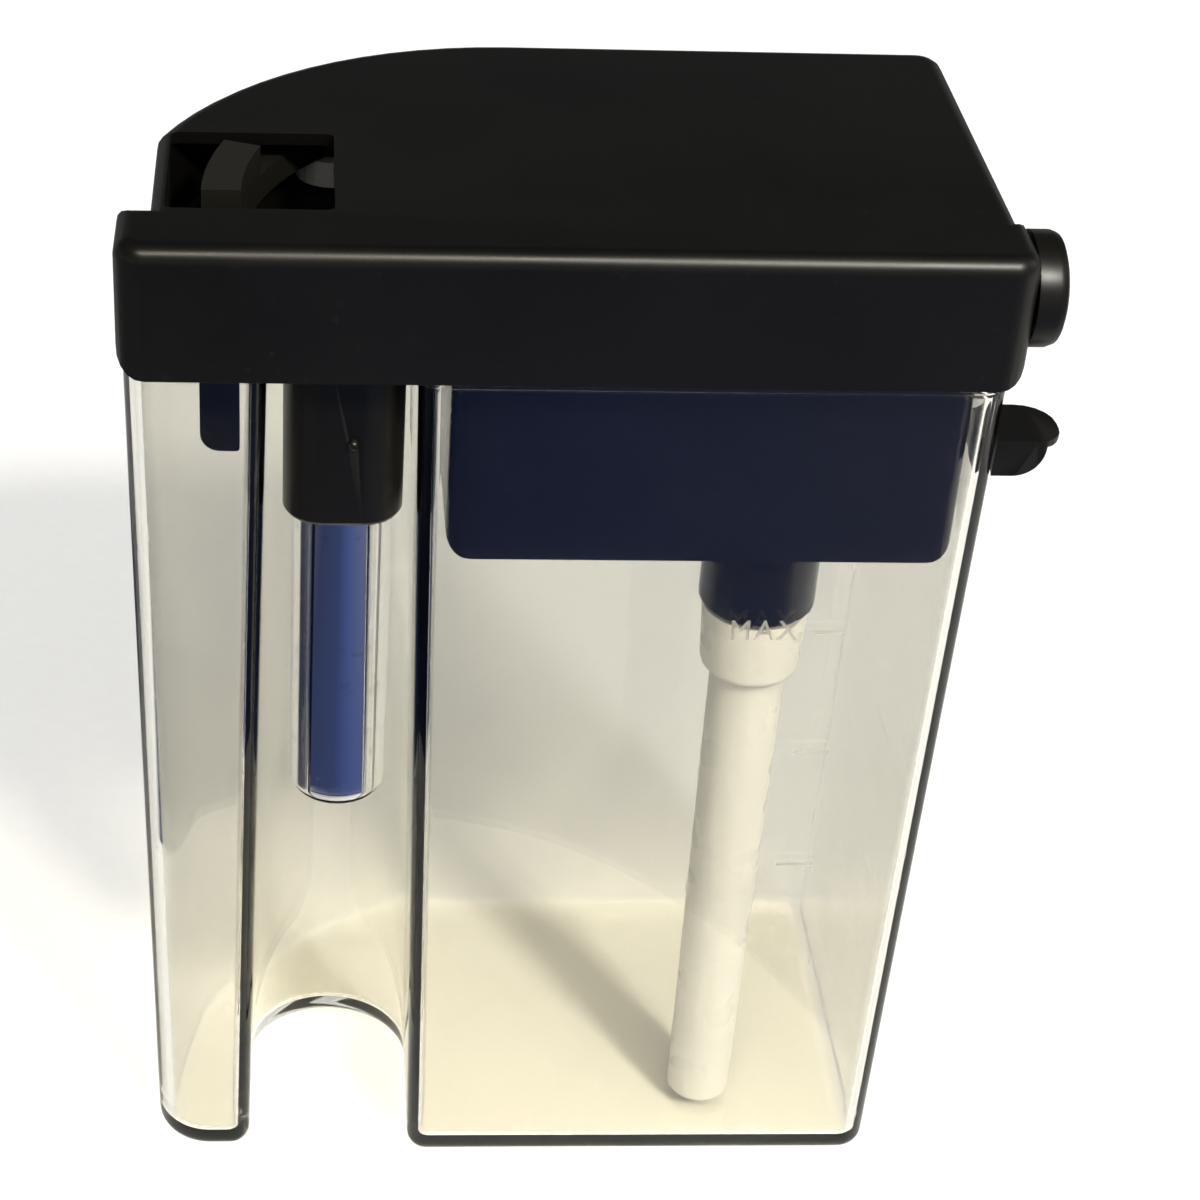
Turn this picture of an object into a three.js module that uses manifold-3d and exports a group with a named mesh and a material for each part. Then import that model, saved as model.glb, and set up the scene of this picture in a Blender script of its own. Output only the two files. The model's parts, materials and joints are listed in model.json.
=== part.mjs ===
// Milk container with frothing lid for an automatic coffee machine.
// Millimetres, +Z up, +X towards the machine's steam outlet, -Y the front with the spout.
// The origin is the centre of the tank's foot, on the surface that the tank stands on.
import * as THREE from 'three';
import { mergeVertices } from 'three/addons/utils/BufferGeometryUtils.js';
import Module from 'manifold-3d';

const wasm = await Module();
wasm.setup();

// ---- driving dimensions -------------------------------------------------------------------------
const GAP = 0.3; // clearance kept between neighbouring pieces
const HIDDEN = 1; // how far a cutting tool runs past the face that it opens

const TANK = {
  halfX: 67.5, halfY: 38, // outer half sizes at the shoulder
  shoulderZ: 164, rimZ: 167, // the lid's skirt sits on the shoulder, the rim goes up inside it
  draftX: 2.43, draftY: 2.29, // how much each side leans in between shoulder and foot
  wall: 2.6, floor: 2.6, footRadius: 3, rimStep: 1.4,
  frontRadius: 9.5, cornerRadius: 5, mouthRadius: 3.5, backArc: 60,
  columnSetback: 1.6, // the narrow column left of the recess stands a little behind the front
};
const RECESS = { x: -34, y: -12.8, radius: 11.4, spread: 3.1 }; // spread: extra radius at the foot

const SKIRT = { out: 0.8, thick: 1.5, bottom: TANK.shoulderZ + GAP };
const SEAL = { bottom: TANK.rimZ + GAP, height: 1.3 };
const PLATE = { bottom: SEAL.bottom + SEAL.height + GAP, thick: 2.2, inset: 1.4 };
PLATE.top = PLATE.bottom + PLATE.thick;
const COVER = { // upper shell of the lid, whose front is a full-height bar
  top: 186.2, bottom: PLATE.top + GAP, wall: 2, edge: 2.8,
  left: -63, right: 68, back: 39.7, arcX: -6, arcY: -21.8, arcRadius: 61.5,
};
const BAR = { left: -67.9, right: 69.3, front: -39, back: -24.2, radius: 4.5, end: 4 };
const WINDOW = { left: -60.8, right: -35.4, front: -25.2, back: 1.5, radius: 1.2 };

const HOUSING = { left: -17.3, right: 63.2, front: -33.5, back: 4, bottom: 130.4, wall: 2, radius: 5 };
const INTAKE = { x: 35.4, y: -20.5, socketRadius: 9.6, socketBottom: 114.4, collarBottom: 102 };
const TUBE = { topRadius: 6.4, footRadius: 5.6, bore: 4.4, bottom: 5 };
const CHAMBER = { radius: 10, bottom: HOUSING.bottom + HOUSING.wall + GAP, top: 156, portZ: 146 };
const WHIRL = { x: 6, y: -14, radius: 13, top: 158 };

const SPOUT = { x: -33.5, y: -23.6, sleeve: 8.1, sleeveWall: 1, bottom: 79, sleeveTop: 165 };
const CARRIER = { halfX: 9.5, front: -33, back: -15.2, bottom: 134.7, radius: 6.5 };
const STEAM = { y: -27.2, z: 175.9, neck: 4.1, flange: 9, face: 74.6, inner: 56 };
const LUG = { y: -28.7, halfY: 5.7, tip: 78, top: 153, bottom: 146.7 };
const LEVER = { x: -35.4, y: 19, arcX: -1.8, arcY: -19, arcRadius: 50.7, width: 6, finFront: -19, finBack: -2.2 };

// ---- materials ----------------------------------------------------------------------------------
const material = (color, roughness, metalness = 0, opacity = 1) =>
  new THREE.MeshStandardMaterial({ color, roughness, metalness, opacity, transparent: opacity < 1 });
const CLEAR = material(0xe6e3d4, 0.06, 0, 0.3);
const BLACK = material(0x1b1a16, 0.42);
const NAVY = material(0x1a1f33, 0.3);
const CHROME = material(0xc9ccd2, 0.08, 1);
const SILICONE = material(0xdcdacb, 0.35, 0, 0.6);
const RUBBER = material(0x55585c, 0.7);
const WHITE = material(0xe4e2d8, 0.4);
const STEEL = material(0xb4b6b8, 0.3, 1);

// ---- joining and cutting ------------------------------------------------------------------------
function solid(geometry) {
  const bare = geometry.clone();
  bare.deleteAttribute('normal');
  bare.deleteAttribute('uv');
  const merged = mergeVertices(bare, 1e-4);
  return new wasm.Manifold(new wasm.Mesh({
    numProp: 3,
    vertProperties: new Float32Array(merged.attributes.position.array),
    triVerts: new Uint32Array(merged.index.array),
  }));
}

function geometryOf(manifold) {
  const mesh = manifold.getMesh();
  const geometry = new THREE.BufferGeometry();
  geometry.setAttribute('position', new THREE.BufferAttribute(new Float32Array(mesh.vertProperties), 3));
  geometry.setIndex(new THREE.BufferAttribute(new Uint32Array(mesh.triVerts), 1));
  geometry.computeVertexNormals();
  return geometry;
}

const join = (...parts) => parts.reduce((all, part) => all.add(part));
const cut = (body, ...tools) => tools.reduce((rest, tool) => rest.subtract(tool), body);

// ---- shapes -------------------------------------------------------------------------------------
// A closed outline whose corners {x, y, r} are rounded; a corner of radius 0 stays one point.
function outline(corners, steps = 5) {
  const points = [];
  corners.forEach((corner, i) => {
    const here = new THREE.Vector2(corner.x, corner.y);
    if (corner.r === 0) {
      points.push(here);
      return;
    }
    const before = corners[(i + corners.length - 1) % corners.length];
    const after = corners[(i + 1) % corners.length];
    const back = new THREE.Vector2(before.x, before.y).sub(here).normalize();
    const on = new THREE.Vector2(after.x, after.y).sub(here).normalize();
    const half = Math.acos(THREE.MathUtils.clamp(back.dot(on), -1, 1)) / 2;
    const reach = corner.r / Math.tan(half);
    const centre = back.clone().add(on).normalize().multiplyScalar(corner.r / Math.sin(half)).add(here);
    const start = here.clone().addScaledVector(back, reach).sub(centre).angle();
    const end = here.clone().addScaledVector(on, reach).sub(centre).angle();
    const turn = THREE.MathUtils.euclideanModulo(end - start + Math.PI, 2 * Math.PI) - Math.PI;
    const count = corner.steps ?? steps;
    for (let k = 0; k <= count; k++) {
      const angle = start + (turn * k) / count;
      points.push(new THREE.Vector2(
        centre.x + corner.r * Math.cos(angle), centre.y + corner.r * Math.sin(angle)));
    }
  });
  return points;
}

// A solid through outlines of equal point count, given as [z, points] from the lowest to the highest.
function loft(levels) {
  const first = levels[0][1];
  const depth = levels.length - 1;
  const geometry = new THREE.ExtrudeGeometry(new THREE.Shape(first),
    { depth, steps: depth, bevelEnabled: false });
  const place = geometry.attributes.position;
  const point = new THREE.Vector2();
  for (let i = 0; i < place.count; i++) {
    point.set(place.getX(i), place.getY(i));
    const nearest = first.reduce((best, candidate, k) =>
      (candidate.distanceToSquared(point) < first[best].distanceToSquared(point) ? k : best), 0);
    const [z, points] = levels[Math.round(place.getZ(i))];
    place.setXYZ(i, points[nearest].x, points[nearest].y, z);
  }
  return solid(geometry);
}

const prism = (points, low, high) => loft([[low, points], [high, points]]);

function rectangle(left, right, front, back, radius, steps) {
  return outline([
    { x: left, y: front, r: radius }, { x: right, y: front, r: radius },
    { x: right, y: back, r: radius }, { x: left, y: back, r: radius },
  ], steps);
}

function box(x0, x1, y0, y1, z0, z1) {
  const geometry = new THREE.BoxGeometry(x1 - x0, y1 - y0, z1 - z0);
  geometry.translate((x0 + x1) / 2, (y0 + y1) / 2, (z0 + z1) / 2);
  return solid(geometry);
}

// A turned body about a vertical axis at (x, y), from its profile [radius, z] on the axis or closed.
function turned(profile, x, y, sides = 28) {
  const geometry = new THREE.LatheGeometry(profile.map(([r, z]) => new THREE.Vector2(r, z)), sides);
  geometry.rotateX(Math.PI / 2);
  geometry.translate(x, y, 0);
  return solid(geometry);
}

const rod = (x, y, radius, low, high, sides = 24) =>
  turned([[0, low], [radius, low], [radius, high], [0, high]], x, y, sides);
const ring = (x, y, inner, outer, low, high, sides = 28) =>
  turned([[inner, low], [outer, low], [outer, high], [inner, high], [inner, low]], x, y, sides);

// A turned body about an axis along X at (y, z), from its profile [radius, x].
function turnedAlongX(profile, y, z, sides = 28) {
  const geometry = new THREE.LatheGeometry(profile.map(([r, x]) => new THREE.Vector2(r, x)), sides);
  geometry.rotateZ(-Math.PI / 2);
  geometry.translate(0, y, z);
  return solid(geometry);
}

const rodAlongX = (y, z, radius, low, high, sides = 20) =>
  turnedAlongX([[0, low], [radius, low], [radius, high], [0, high]], y, z, sides);

// A round pipe along a smooth curve through the given points.
function pipe(points, outer, inner, steps = 24) {
  const section = new THREE.Shape().absarc(0, 0, outer, 0, 2 * Math.PI);
  section.holes.push(new THREE.Path().absarc(0, 0, inner, 0, 2 * Math.PI, true));
  const path = new THREE.CatmullRomCurve3(points.map((p) => new THREE.Vector3(...p)));
  const geometry = new THREE.ExtrudeGeometry(section,
    { steps, bevelEnabled: false, extrudePath: path, curveSegments: 4 });
  return solid(geometry);
}

// ---- the scene graph ----------------------------------------------------------------------------
const container = new THREE.Group();
const tankGroup = new THREE.Group();
const lidGroup = new THREE.Group();
const leverGroup = new THREE.Group();
const spoutGroup = new THREE.Group();
container.add(tankGroup, lidGroup);
lidGroup.add(leverGroup, spoutGroup);

function piece(name, group, body, finish) {
  const mesh = new THREE.Mesh(geometryOf(body), finish);
  mesh.name = name;
  group.add(mesh);
  return mesh;
}

// ---- tank ---------------------------------------------------------------------------------------
// The tank's outline at height z, moved in by inset. It leans in towards the foot, and the recess
// in its front, which the spout hangs in, opens out towards the foot.
function tankOutline(z, inset) {
  const low = Math.max(0, (TANK.shoulderZ - z) / TANK.shoulderZ);
  const x = TANK.halfX - TANK.draftX * low - inset;
  const y = TANK.halfY - TANK.draftY * low - inset;
  const r = RECESS.radius + RECESS.spread * low + inset;
  const round = (radius) => Math.max(radius - inset, 0.6);
  const column = -y + TANK.columnSetback;
  return outline([
    { x: -x, y: column, r: round(TANK.frontRadius), steps: 6 },
    { x: RECESS.x - r, y: column, r: round(TANK.mouthRadius) },
    { x: RECESS.x - r, y: RECESS.y + r, r: r - 0.01, steps: 10 },
    { x: RECESS.x + r, y: RECESS.y + r, r: r - 0.01, steps: 10 },
    { x: RECESS.x + r, y: -y, r: round(TANK.mouthRadius) },
    { x, y: -y, r: round(TANK.cornerRadius) },
    { x, y, r: round(TANK.cornerRadius) },
    { x: -x, y, r: TANK.backArc - inset, steps: 14 },
  ]);
}

function makeTank() {
  const foot = [0, 0.3, 0.7].map((share) => {
    const angle = (share * Math.PI) / 2;
    return [TANK.footRadius * (1 - Math.cos(angle)), TANK.footRadius * (1 - Math.sin(angle))];
  });
  const outer = loft([
    ...foot.map(([z, inset]) => [z, tankOutline(z, inset)]),
    [TANK.footRadius, tankOutline(TANK.footRadius, 0)],
    [TANK.shoulderZ, tankOutline(TANK.shoulderZ, 0)],
    [TANK.shoulderZ + 0.01, tankOutline(TANK.shoulderZ, TANK.rimStep)],
    [TANK.rimZ, tankOutline(TANK.shoulderZ, TANK.rimStep)],
  ]);
  const inner = loft([
    [TANK.floor, tankOutline(0, TANK.wall + 2)],
    [TANK.floor + 0.6, tankOutline(0, TANK.wall + 0.7)],
    [TANK.floor + 2, tankOutline(0, TANK.wall)],
    [TANK.shoulderZ, tankOutline(TANK.shoulderZ, TANK.wall)],
    [TANK.rimZ + HIDDEN, tankOutline(TANK.shoulderZ, TANK.wall)],
  ]);
  return cut(outer, inner);
}
piece('tank', tankGroup, makeTank(), CLEAR);

// Tongue on the tank's side that slides into the machine: flat on top, its underside quarter round.
function makeDockingLug() {
  const height = LUG.top - LUG.bottom;
  const sideX = TANK.halfX + GAP;
  const side = new THREE.Shape();
  side.moveTo(sideX - 3, LUG.top);
  side.lineTo(sideX - 3, LUG.bottom);
  side.lineTo(LUG.tip - height - 1.2, LUG.bottom);
  side.absarc(LUG.tip - height - 1.2, LUG.top - 1.2, height - 1.2, -Math.PI / 2, 0);
  side.lineTo(LUG.tip - 1.2, LUG.top - 1.2);
  side.lineTo(LUG.tip, LUG.top - 0.9);
  side.lineTo(LUG.tip, LUG.top);
  side.closePath();
  const body = new THREE.ExtrudeGeometry(side,
    { depth: 2 * LUG.halfY, bevelEnabled: false, curveSegments: 8 });
  body.rotateX(Math.PI / 2);
  body.translate(0, LUG.y + LUG.halfY, 0);
  const plan = outline([
    { x: sideX - 8, y: LUG.y - LUG.halfY, r: 0.5 }, { x: LUG.tip, y: LUG.y - LUG.halfY, r: 4 },
    { x: LUG.tip, y: LUG.y + LUG.halfY, r: LUG.halfY }, { x: sideX - 8, y: LUG.y + LUG.halfY, r: 0.5 },
  ]);
  const wallSide = loft([0, TANK.shoulderZ].map((z) => [z, tankOutline(z, -GAP)]));
  return cut(solid(body).intersect(prism(plan, LUG.bottom - HIDDEN, LUG.top + HIDDEN)), wallSide);
}
piece('docking_lug', tankGroup, makeDockingLug(), BLACK);

// ---- lid base -----------------------------------------------------------------------------------
// The tank's outline at the shoulder without the recess.
function lidOutline(inset) {
  const x = TANK.halfX - inset;
  const y = TANK.halfY - inset;
  const round = (radius) => radius - inset;
  return outline([
    { x: -x, y: -y, r: round(TANK.frontRadius) }, { x, y: -y, r: round(TANK.cornerRadius) },
    { x, y, r: round(TANK.cornerRadius) }, { x: -x, y, r: round(TANK.backArc), steps: 14 },
  ]);
}

const screwPlaces = [[-22, 26], [56, 28], [58, -12], [-8, -4]];
const SCREW = { head: 2.6, shank: 1.4, hole: 1.8, boss: 3.4, headHeight: 1.6, top: 181 };
const airValve = { radius: 6, top: 175.8, bore: 2.9 };
const outletElbow = { radius: 5, top: 182 };
const steamDrop = { x: 50, y: -27, radius: 2.5 };
const frothRise = { x: 2, y: -20, radius: 3 };
const airPass = { x: 26.8, y: -12, radius: 1.6 };

function makeLidBase() {
  const behindBar = box(-90, 90, BAR.back + GAP, 90, 150, 200);
  const skirt = cut(prism(lidOutline(-SKIRT.out), SKIRT.bottom, PLATE.top),
    prism(lidOutline(SKIRT.thick - SKIRT.out), SKIRT.bottom - HIDDEN, PLATE.bottom));
  const plate = prism(lidOutline(PLATE.inset), PLATE.bottom, PLATE.top);
  const tabLow = 149;
  const tab = new THREE.Shape(outline([
    { x: -55.6, y: tabLow, r: 3 }, { x: -49.6, y: tabLow, r: 0.6 },
    { x: -49.6, y: PLATE.bottom + HIDDEN, r: 0.2 }, { x: -55.6, y: PLATE.bottom + HIDDEN, r: 0.2 },
  ]));
  const tabBody = new THREE.ExtrudeGeometry(tab, { depth: 2.4, bevelEnabled: false });
  tabBody.rotateX(Math.PI / 2);
  tabBody.translate(0, -29.8, 0);
  const holes = [
    rod(SPOUT.x, SPOUT.y, 4.4, 160, 180),
    rod(steamDrop.x, steamDrop.y, steamDrop.radius + 0.6, 160, 180),
    rod(frothRise.x, frothRise.y, frothRise.radius + 0.9, 160, 180),
    rod(airPass.x, airPass.y, airPass.radius + 0.6, 160, 180),
    ...screwPlaces.map(([x, y]) => rod(x, y, SCREW.hole, 160, 180, 20)),
  ];
  return cut(join(plate, skirt.intersect(behindBar), solid(tabBody)), ...holes);
}
piece('lid_base', lidGroup, makeLidBase(), BLACK);

// Flat gasket between the tank's rim and the lid's plate.
const sealRing = cut(
  prism(tankOutline(TANK.shoulderZ, TANK.rimStep + 0.4), SEAL.bottom, SEAL.bottom + SEAL.height),
  prism(tankOutline(TANK.shoulderZ, TANK.rimStep + 2.4), SEAL.bottom - HIDDEN, PLATE.bottom));
piece('lid_seal', lidGroup, sealRing, RUBBER);

// ---- lid cover ----------------------------------------------------------------------------------
// The rounded upper edge of a moulded piece: pairs of height below the top and inset there.
function roundedTop(radius, count = 4) {
  return Array.from({ length: count + 1 }, (_, k) => {
    const angle = (k / count) * (Math.PI / 2);
    return [radius * (1 - Math.sin(angle)), radius * (1 - Math.cos(angle))];
  });
}

// The lid from above: the bar across the front and, behind it, the cover, whose far left corner is
// one large arc that meets the left side at a shallow angle.
function coverOutline(inset) {
  const radius = COVER.arcRadius - inset;
  const left = COVER.left + inset;
  const right = COVER.right - inset;
  const barLeft = BAR.left + inset;
  const barRight = BAR.right - inset;
  const barBack = BAR.back - inset;
  const meet = Math.acos((left - COVER.arcX) / radius);
  const steps = 14;
  const arc = Array.from({ length: steps + 1 }, (_, k) => {
    const angle = Math.PI / 2 + ((meet - Math.PI / 2) * k) / steps;
    const x = COVER.arcX + radius * Math.cos(angle);
    return { x, y: COVER.arcY + radius * Math.sin(angle), r: k === steps ? 2 : 0 };
  });
  return outline([
    { x: barLeft, y: BAR.front + inset, r: BAR.radius - inset },
    { x: barRight, y: BAR.front + inset, r: BAR.radius - inset },
    { x: barRight, y: barBack, r: 0 },
    { x: right, y: barBack, r: 0 },
    { x: right, y: COVER.back - inset, r: 4.5 - inset },
    ...arc,
    { x: left, y: barBack, r: 0 },
    { x: barLeft, y: barBack, r: 0 },
  ]);
}

function makeLidCover() {
  const ceiling = COVER.top - COVER.wall;
  const upper = loft([
    [COVER.bottom, coverOutline(0)],
    ...roundedTop(COVER.edge).map(([drop, inset]) => [COVER.top - drop, coverOutline(inset)]),
  ]);
  // The bar reaches down over the tank's shoulder, and its lower corners are rounded off.
  const barFace = new THREE.Shape(rectangle(BAR.left, BAR.right, SKIRT.bottom, COVER.top, BAR.end));
  const barFront = new THREE.ExtrudeGeometry(barFace, { depth: 60, bevelEnabled: false });
  barFront.rotateX(Math.PI / 2);
  const barBelow = prism(outline([
    { x: BAR.left, y: BAR.front, r: BAR.radius }, { x: BAR.right, y: BAR.front, r: BAR.radius },
    { x: BAR.right, y: BAR.back, r: 0 }, { x: BAR.left, y: BAR.back, r: 0 },
  ]), SKIRT.bottom, COVER.bottom + HIDDEN).intersect(solid(barFront));
  const upperCavity = prism(coverOutline(COVER.wall), COVER.bottom - HIDDEN / 2, ceiling);
  const overRim = prism(outline([
    { x: BAR.left + 1.5, y: BAR.front + 1.8, r: 2.6 }, { x: BAR.right - 1.8, y: BAR.front + 1.8, r: 2.6 },
    { x: BAR.right - 1.8, y: BAR.back + HIDDEN, r: 0 }, { x: BAR.left + 1.5, y: BAR.back + HIDDEN, r: 0 },
  ]), SKIRT.bottom - HIDDEN, COVER.bottom);
  const window = prism(rectangle(WINDOW.left, WINDOW.right, WINDOW.front, WINDOW.back, WINDOW.radius),
    ceiling - HIDDEN, COVER.top + HIDDEN);
  const shell = cut(join(upper, barBelow), upperCavity, overRim, window,
    rodAlongX(STEAM.y, STEAM.z, STEAM.neck + GAP, BAR.right - 5, BAR.right + HIDDEN));
  const bosses = screwPlaces.map(([x, y]) =>
    cut(rod(x, y, SCREW.boss, COVER.bottom, ceiling + 0.5, 24),
      rod(x, y, SCREW.shank + GAP, COVER.bottom - HIDDEN, SCREW.top + GAP, 20)));
  const pinBoss = cut(rod(LEVER.x, LEVER.y, 3.5, 181.6, ceiling + 0.5, 24),
    rod(LEVER.x, LEVER.y, 1.8, 181, ceiling + 0.3, 20));
  return join(shell, ...bosses, pinBoss);
}
piece('lid_cover', lidGroup, makeLidCover(), BLACK);

// Screws driven up through the plate into the cover's bosses, with a cross recess in each head.
function makeScrew(x, y) {
  const low = PLATE.bottom - GAP - SCREW.headHeight;
  const under = PLATE.bottom - GAP;
  const body = turned([[0, low], [SCREW.head - 0.5, low], [SCREW.head, low + 0.6], [SCREW.head, under],
    [SCREW.shank, under], [SCREW.shank, SCREW.top - 1], [0.3, SCREW.top], [0, SCREW.top]], x, y, 12);
  const slot = (lx, ly) => box(x - lx, x + lx, y - ly, y + ly, low - HIDDEN, low + 0.9);
  return cut(body, slot(1.6, 0.35), slot(0.35, 1.6));
}
screwPlaces.forEach(([x, y], i) => piece(`lid_screw_${i + 1}`, lidGroup, makeScrew(x, y), STEEL));

// ---- froth housing and what it holds ------------------------------------------------------------
function makeHousing() {
  const { left, right, front, back, bottom, wall, radius } = HOUSING;
  const top = PLATE.bottom - GAP;
  const face = new THREE.Shape(outline([
    { x: left, y: bottom, r: radius - 1 }, { x: right, y: bottom, r: radius - 1 },
    { x: right, y: top + 20, r: 1 }, { x: left, y: top + 20, r: 1 },
  ]));
  const faceBody = new THREE.ExtrudeGeometry(face, { depth: 80, bevelEnabled: false });
  faceBody.rotateX(Math.PI / 2);
  faceBody.translate(0, 40, 0);
  const outer = prism(rectangle(left, right, front, back, 3), bottom, top).intersect(solid(faceBody));
  const pocket = prism(rectangle(left + wall, right - wall, front + wall, back - wall, 2),
    bottom + wall, top + HIDDEN);
  return cut(outer, pocket, rod(INTAKE.x, INTAKE.y, 5.3, bottom - HIDDEN, bottom + wall + HIDDEN),
    ...screwPlaces.map(([x, y]) => rod(x, y, SCREW.head + 0.8, top - 4, top + HIDDEN)));
}
piece('froth_housing', lidGroup, makeHousing(), NAVY);

const boreTop = 152;
const chamberBody = cut(
  rod(INTAKE.x, INTAKE.y, CHAMBER.radius, CHAMBER.bottom, CHAMBER.top),
  rod(INTAKE.x, INTAKE.y, 5.3, CHAMBER.bottom - HIDDEN, CHAMBER.bottom + 5),
  rod(INTAKE.x, INTAKE.y, 3, CHAMBER.bottom, boreTop),
  rodAlongX(INTAKE.y, CHAMBER.portZ, 2.8, INTAKE.x, INTAKE.x + 12),
  rodAlongX(INTAKE.y, CHAMBER.portZ + 3, 2.2, INTAKE.x - 12, INTAKE.x),
  rod(airPass.x + 4.6, INTAKE.y, 1.4, boreTop - 2, CHAMBER.top + HIDDEN, 16));
piece('mixing_chamber', lidGroup, chamberBody, WHITE);

const nozzle = turnedAlongX([[0.7, INTAKE.x + 4], [1.2, INTAKE.x + 4], [2.4, INTAKE.x + 6.5],
  [2.4, INTAKE.x + 9], [0.7, INTAKE.x + 9], [0.7, INTAKE.x + 4]], INTAKE.y, CHAMBER.portZ, 20);
piece('steam_nozzle', lidGroup, nozzle, STEEL);

const steamPipe = pipe([
  [STEAM.inner - GAP, STEAM.y, STEAM.z], [steamDrop.x + 2.5, STEAM.y, STEAM.z - 0.4],
  [steamDrop.x, steamDrop.y, PLATE.top - 1], [steamDrop.x + 1, steamDrop.y + 1, 158],
  [INTAKE.x + 14.5, INTAKE.y - 1.2, 149], [INTAKE.x + 10.4, INTAKE.y, CHAMBER.portZ]],
  steamDrop.radius - 0.4, 1.2, 18);
piece('steam_pipe', lidGroup, steamPipe, SILICONE);

// The whirl cup takes the froth's large bubbles out before the froth goes up to the spout.
const cupFloor = 2;
const whirlCup = cut(
  rod(WHIRL.x, WHIRL.y, WHIRL.radius, CHAMBER.bottom, WHIRL.top),
  rod(WHIRL.x, WHIRL.y, WHIRL.radius - 1.6, CHAMBER.bottom + cupFloor, WHIRL.top + HIDDEN),
  rodAlongX(WHIRL.y, CHAMBER.portZ + 3, 2.6, WHIRL.x + 5, WHIRL.x + WHIRL.radius + HIDDEN));
piece('whirl_cup', lidGroup, whirlCup, WHITE);
const whirlCap = cut(
  join(rod(WHIRL.x, WHIRL.y, WHIRL.radius, WHIRL.top + GAP, WHIRL.top + 2),
    rod(WHIRL.x, WHIRL.y, WHIRL.radius - 1.6 - GAP, WHIRL.top - 2, WHIRL.top + 0.5)),
  rod(frothRise.x, frothRise.y, frothRise.radius + GAP, WHIRL.top - 4, WHIRL.top + 4));
piece('whirl_cup_cap', lidGroup, whirlCap, WHITE);

const transferPipe = pipe([[INTAKE.x - 10.3, INTAKE.y, CHAMBER.portZ + 3],
  [INTAKE.x - 13, INTAKE.y + 1, CHAMBER.portZ + 3],
  [WHIRL.x + WHIRL.radius + 3, WHIRL.y - 1, CHAMBER.portZ + 3],
  [WHIRL.x + WHIRL.radius + 0.3, WHIRL.y, CHAMBER.portZ + 3]], 2, 1.2, 10);
piece('transfer_pipe', lidGroup, transferPipe, SILICONE);

const frothPipe = pipe([[frothRise.x, frothRise.y, 150], [frothRise.x, frothRise.y, 166],
  [frothRise.x - 1.5, frothRise.y - 1, 174], [frothRise.x - 9, frothRise.y - 3, 177.5],
  [-20, SPOUT.y, 177.5], [SPOUT.x + outletElbow.radius + GAP, SPOUT.y, 177.5]], frothRise.radius, 2, 20);
piece('froth_pipe', lidGroup, frothPipe, SILICONE);

// ---- milk intake --------------------------------------------------------------------------------
const socketTop = HOUSING.bottom - GAP;
const intakeSocket = cut(
  join(turned([[0, INTAKE.socketBottom], [INTAKE.socketRadius - 1, INTAKE.socketBottom],
    [INTAKE.socketRadius, INTAKE.socketBottom + 1], [INTAKE.socketRadius, socketTop], [0, socketTop]],
    INTAKE.x, INTAKE.y, 32), rod(INTAKE.x, INTAKE.y, 5, socketTop - 1, CHAMBER.bottom + 4.5)),
  rod(INTAKE.x, INTAKE.y, 2.6, INTAKE.socketBottom - HIDDEN, CHAMBER.bottom + 6),
  ring(INTAKE.x, INTAKE.y, 5, 8.2, INTAKE.socketBottom - HIDDEN, INTAKE.socketBottom + 8, 32));
piece('intake_socket', lidGroup, intakeSocket, NAVY);

// Soft collar: its neck plugs into the socket's groove and its skirt grips the tube.
const collarTop = INTAKE.socketBottom + 7.6;
const intakeCollar = turned([
  [6.7, INTAKE.collarBottom], [7.9, INTAKE.collarBottom], [8.3, INTAKE.collarBottom + 1.2],
  [8.9, INTAKE.socketBottom - GAP], [7.9, INTAKE.socketBottom - GAP], [7.9, collarTop],
  [5.3, collarTop], [5.3, INTAKE.socketBottom - 2], [6.7, INTAKE.socketBottom - 2.6],
  [6.7, INTAKE.collarBottom]], INTAKE.x, INTAKE.y, 32);
piece('intake_collar', lidGroup, intakeCollar, SILICONE);

const tubeTop = INTAKE.socketBottom - 3;
const intakeTube = turned([[TUBE.bore, TUBE.bottom], [TUBE.footRadius, TUBE.bottom],
  [TUBE.topRadius, tubeTop], [TUBE.bore + 0.4, tubeTop], [TUBE.bore, TUBE.bottom]],
  INTAKE.x, INTAKE.y, 28);
piece('intake_tube', lidGroup, intakeTube, SILICONE);

// ---- steam inlet --------------------------------------------------------------------------------
const flangeStart = BAR.right + GAP;
const portDepth = 4;
const connector = turnedAlongX([
  [1.4, STEAM.inner], [3.4, STEAM.inner], [STEAM.neck, STEAM.inner + 1], [STEAM.neck, flangeStart],
  [STEAM.flange, flangeStart], [STEAM.flange, STEAM.face - 1.8], [STEAM.flange - 0.5, STEAM.face - 0.5],
  [STEAM.flange - 1.8, STEAM.face], [5, STEAM.face], [5, STEAM.face - portDepth],
  [1.4, STEAM.face - portDepth], [1.4, STEAM.inner]], STEAM.y, STEAM.z, 36);
piece('steam_connector', lidGroup, connector, BLACK);

const portRing = new THREE.TorusGeometry(3.8, 0.8, 8, 24);
portRing.rotateY(Math.PI / 2);
portRing.translate(STEAM.face - portDepth + 1.2, STEAM.y, STEAM.z);
piece('steam_port_seal', lidGroup, solid(portRing), RUBBER);

const valve = turnedAlongX([[0, 60], [0.9, 60], [1.1, 63.5], [1.1, 64.4], [0, 64.4]],
  STEAM.y, STEAM.z, 16);
piece('check_valve', lidGroup, valve, RUBBER);

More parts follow.
